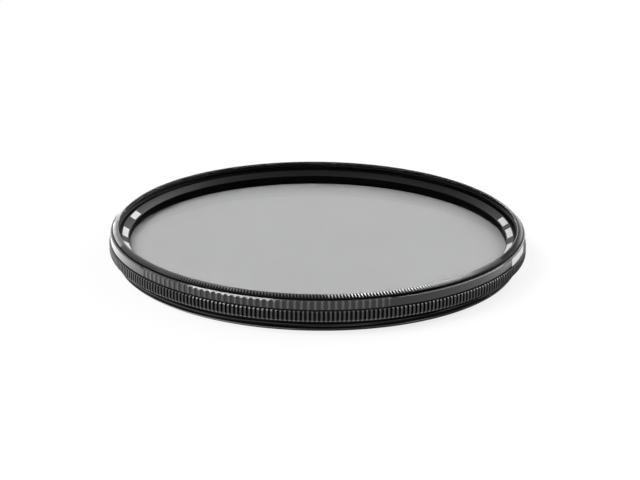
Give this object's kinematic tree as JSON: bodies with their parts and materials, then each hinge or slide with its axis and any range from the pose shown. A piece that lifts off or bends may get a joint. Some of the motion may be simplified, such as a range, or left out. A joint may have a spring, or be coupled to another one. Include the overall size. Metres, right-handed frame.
{
  "type": "screw-in circular polarising lens filter",
  "caption": "Slim round lens filter: a knurled ring with a lens thread carries a turning front ring with grip flutes, a front thread and a grey polarising glass.",
  "frame": {"origin": "centre of the lens thread's end face, which is the lowest face", "axes": "+Z along the optical axis, out of the lens towards the front; -Y towards the viewer of the picture"},
  "size_m": [0.08, 0.08, 0.0071],
  "materials": {
    "ring_black": "satin black anodised aluminium",
    "retainer_black": "matt black anodised aluminium",
    "spring_steel": "drawn spring steel",
    "glass": "polished optical glass",
    "film": "neutral grey polarising film"
  },
  "bodies": {
    "mount": {"mount_ring": "ring_black", "spring_ring": "spring_steel"},
    "front": {"front_ring": "ring_black", "retaining_ring": "retainer_black", "rear_glass": "glass", "polarizing_film": "film", "front_glass": "glass"}
  },
  "joints": [
    {"name": "front_turn", "type": "hinge", "parent": "mount", "child": "front", "pos_m": [0, 0, 0.0035], "axis": [0, 0, 1], "continuous": true}
  ]
}
